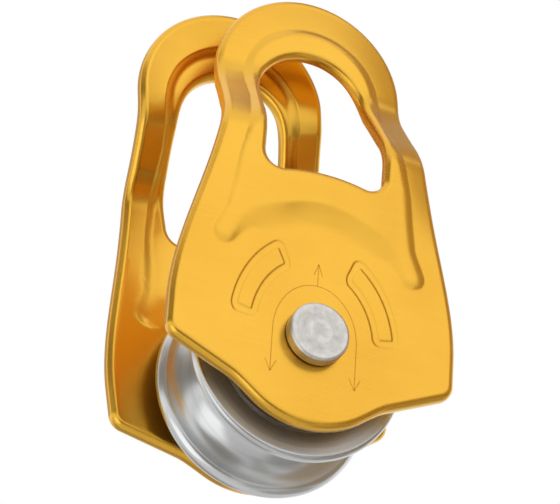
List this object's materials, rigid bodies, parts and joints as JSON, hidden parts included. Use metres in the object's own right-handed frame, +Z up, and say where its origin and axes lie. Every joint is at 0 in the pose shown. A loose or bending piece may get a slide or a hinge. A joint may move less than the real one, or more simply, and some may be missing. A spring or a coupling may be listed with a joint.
{
  "type": "rope pulley",
  "caption": "Compact swing-cheek rope pulley: two gold stamped cheeks with a carabiner eye, a grooved ball-bearing sheave between them on a riveted axle.",
  "frame": {"origin": "the point where the carabiner bears, at the top of the eyes and midway between the cheeks", "axes": "+Z up towards the carabiner, +Y along the axle from the front cheek to the rear cheek, +X to the right seen from the front"},
  "size_m": [0.0533, 0.0356, 0.0893],
  "materials": {
    "gold_anodised": "gold anodised, satin",
    "sheave_aluminium": "turned and polished",
    "stainless": "satin, tumbled",
    "bearing_steel": "ground",
    "cage_steel": "pressed, bare",
    "spring_steel": "blackened",
    "seal_rubber": "matt"
  },
  "bodies": {
    "front_cheek": {"front_cheek": "gold_anodised"},
    "rear_cheek": {"rear_cheek": "gold_anodised"},
    "axle": {"axle": "stainless", "front_spacer": "stainless", "rear_spacer": "stainless", "bearing_inner_ring": "bearing_steel"},
    "sheave": {"sheave": "sheave_aluminium", "retaining_ring": "spring_steel", "bearing_outer_ring": "bearing_steel", "bearing_front_seal": "seal_rubber", "bearing_rear_seal": "seal_rubber"},
    "ball_cage": {"bearing_cage": "cage_steel", "bearing_ball_1": "bearing_steel", "bearing_ball_2": "bearing_steel", "bearing_ball_3": "bearing_steel", "bearing_ball_4": "bearing_steel", "bearing_ball_5": "bearing_steel", "bearing_ball_6": "bearing_steel", "bearing_ball_7": "bearing_steel", "bearing_ball_8": "bearing_steel"}
  },
  "joints": [
    {"name": "rear_cheek_swing", "type": "hinge", "parent": "front_cheek", "child": "rear_cheek", "pos_m": [0, 0.0137, -0.0585], "axis": [0, 1, 0], "continuous": true},
    {"name": "axle_turn", "type": "hinge", "parent": "front_cheek", "child": "axle", "pos_m": [0, 0, -0.0585], "axis": [0, 1, 0], "continuous": true},
    {"name": "sheave_spin", "type": "hinge", "parent": "axle", "child": "sheave", "pos_m": [0, 0, -0.0585], "axis": [0, 1, 0], "continuous": true},
    {"name": "ball_cage_orbit", "type": "hinge", "parent": "axle", "child": "ball_cage", "pos_m": [0, 0, -0.0585], "axis": [0, 1, 0], "continuous": true}
  ],
  "couplings": [
    {"joint": "ball_cage_orbit", "follows": "sheave_spin", "ratio": 0.6074}
  ]
}
